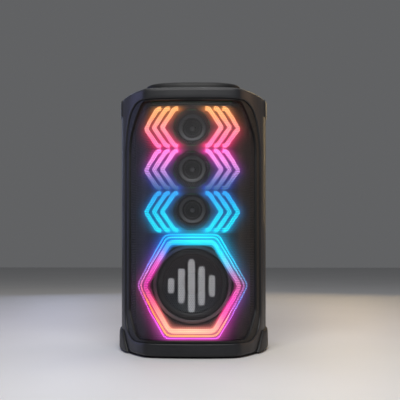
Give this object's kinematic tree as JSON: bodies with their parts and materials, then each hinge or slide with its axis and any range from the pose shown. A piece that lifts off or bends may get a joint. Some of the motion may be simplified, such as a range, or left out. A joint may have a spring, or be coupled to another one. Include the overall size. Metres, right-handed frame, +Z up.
{
  "type": "party speaker",
  "caption": "Portable party speaker with a convex perforated grille over a woofer and a column of small drivers, coloured light guides, top push-button panel and carry handle.",
  "frame": {"origin": "middle of the footprint, on the surface the feet stand on", "axes": "+X to the right seen from the front, -Y out of the grille, +Z up"},
  "size_m": [0.318, 0.28, 0.551],
  "materials": {
    "frame_plastic": "satin, fine moulded texture",
    "trim_plastic": "satin",
    "grille_steel": "satin black perforated sheet",
    "cabinet_plastic": "moulded texture",
    "skirt_plastic": "satin",
    "foot_rubber": "matt",
    "handle_plastic": "satin",
    "panel_gloss": "gloss",
    "button_plastic": "satin",
    "circuit_board": "solder mask",
    "baffle_plastic": "matt",
    "basket_steel": "satin black",
    "ring_gloss": "satin gloss",
    "surround_rubber": "matt",
    "cone_polymer": "satin",
    "cap_polymer": "satin gloss",
    "magnet_iron": "bare ferrite",
    "light_guide": "diffusing",
    "carrier_plastic": "satin",
    "port_plastic": "satin",
    "flap_rubber": "matt",
    "pin_steel": "bright",
    "jack_chrome": "bright",
    "usb_steel": "bright",
    "knob_plastic": "satin",
    "sink_aluminium": "natural",
    "battery_wrap": "shrink film"
  },
  "bodies": {
    "housing": {"front_frame": "frame_plastic", "grille_trim": "trim_plastic", "grille": "grille_steel", "cabinet": "cabinet_plastic", "base_plate": "cabinet_plastic", "base_skirt": "skirt_plastic", "foot_front_left": "foot_rubber", "foot_front_right": "foot_rubber", "foot_rear_left": "foot_rubber", "foot_rear_right": "foot_rubber", "top_cover": "frame_plastic", "handle": "handle_plastic", "control_panel": "panel_gloss", "control_board": "circuit_board", "baffle": "baffle_plastic", "woofer_basket": "basket_steel", "woofer_trim_ring": "ring_gloss", "woofer_surround": "surround_rubber", "woofer_magnet": "magnet_iron", "woofer_light_ring": "light_guide", "light_carrier": "carrier_plastic", "led_board": "circuit_board", "bass_port": "port_plastic", "rear_panel": "cabinet_plastic", "flap_pin": "pin_steel", "mic_jack": "jack_chrome", "usb_port": "usb_steel", "mains_inlet": "trim_plastic", "amplifier_board": "circuit_board", "heat_sink": "sink_aluminium", "power_supply": "sink_aluminium", "battery_tray": "baffle_plastic", "battery_pack": "battery_wrap", "mid_basket_top": "ring_gloss", "mid_surround_top": "surround_rubber", "mid_magnet_top": "magnet_iron", "array_light_top": "light_guide", "mid_basket_middle": "ring_gloss", "mid_surround_middle": "surround_rubber", "mid_magnet_middle": "magnet_iron", "array_light_middle": "light_guide", "mid_basket_bottom": "ring_gloss", "mid_surround_bottom": "surround_rubber", "mid_magnet_bottom": "magnet_iron", "array_light_bottom": "light_guide"},
    "power_button": {"power_button": "button_plastic"},
    "pairing_button": {"pairing_button": "button_plastic"},
    "light_button": {"light_button": "button_plastic"},
    "play_button": {"play_button": "button_plastic"},
    "bass_button": {"bass_button": "button_plastic"},
    "volume_down_button": {"volume_down_button": "button_plastic"},
    "volume_up_button": {"volume_up_button": "button_plastic"},
    "woofer_moving": {"woofer_cone": "cone_polymer", "woofer_dust_cap": "cap_polymer"},
    "mid_moving_top": {"mid_cone_top": "cone_polymer"},
    "mid_moving_middle": {"mid_cone_middle": "cone_polymer"},
    "mid_moving_bottom": {"mid_cone_bottom": "cone_polymer"},
    "mic_volume_knob": {"mic_volume_knob": "knob_plastic"},
    "echo_knob": {"echo_knob": "knob_plastic"},
    "port_flap": {"port_flap": "flap_rubber"}
  },
  "joints": [
    {"name": "power_press", "type": "slide", "parent": "housing", "child": "power_button", "axis": [0, 0, -1], "range_m": [0, 0.0008], "stiffness_N_per_m": 600, "springref_m": -0.0006},
    {"name": "pairing_press", "type": "slide", "parent": "housing", "child": "pairing_button", "axis": [0, 0, -1], "range_m": [0, 0.0008], "stiffness_N_per_m": 600, "springref_m": -0.0006},
    {"name": "light_press", "type": "slide", "parent": "housing", "child": "light_button", "axis": [0, 0, -1], "range_m": [0, 0.0008], "stiffness_N_per_m": 600, "springref_m": -0.0006},
    {"name": "play_press", "type": "slide", "parent": "housing", "child": "play_button", "axis": [0, 0, -1], "range_m": [0, 0.0008], "stiffness_N_per_m": 600, "springref_m": -0.0006},
    {"name": "bass_press", "type": "slide", "parent": "housing", "child": "bass_button", "axis": [0, 0, -1], "range_m": [0, 0.0008], "stiffness_N_per_m": 600, "springref_m": -0.0006},
    {"name": "volume_down_press", "type": "slide", "parent": "housing", "child": "volume_down_button", "axis": [0, 0, -1], "range_m": [0, 0.0008], "stiffness_N_per_m": 600, "springref_m": -0.0006},
    {"name": "volume_up_press", "type": "slide", "parent": "housing", "child": "volume_up_button", "axis": [0, 0, -1], "range_m": [0, 0.0008], "stiffness_N_per_m": 600, "springref_m": -0.0006},
    {"name": "woofer_travel", "type": "slide", "parent": "housing", "child": "woofer_moving", "axis": [0, -1, 0], "range_m": [-0.006, 0.006], "stiffness_N_per_m": 1500, "deforming": ["woofer_surround"]},
    {"name": "mid_travel_top", "type": "slide", "parent": "housing", "child": "mid_moving_top", "axis": [0, -1, 0], "range_m": [-0.0015, 0.0015], "stiffness_N_per_m": 3000, "deforming": ["mid_surround_top"]},
    {"name": "mid_travel_middle", "type": "slide", "parent": "housing", "child": "mid_moving_middle", "axis": [0, -1, 0], "range_m": [-0.0015, 0.0015], "stiffness_N_per_m": 3000, "deforming": ["mid_surround_middle"]},
    {"name": "mid_travel_bottom", "type": "slide", "parent": "housing", "child": "mid_moving_bottom", "axis": [0, -1, 0], "range_m": [-0.0015, 0.0015], "stiffness_N_per_m": 3000, "deforming": ["mid_surround_bottom"]},
    {"name": "mic_volume_turn", "type": "hinge", "parent": "housing", "child": "mic_volume_knob", "pos_m": [-0.026, 0.128, 0.172], "axis": [0, 1, 0], "range_deg": [-150, 150]},
    {"name": "echo_turn", "type": "hinge", "parent": "housing", "child": "echo_knob", "pos_m": [0.026, 0.128, 0.172], "axis": [0, 1, 0], "range_deg": [-150, 150]},
    {"name": "flap_swing", "type": "hinge", "parent": "housing", "child": "port_flap", "pos_m": [0, 0.1277, 0.153], "axis": [1, 0, 0], "range_deg": [0, 105]}
  ]
}
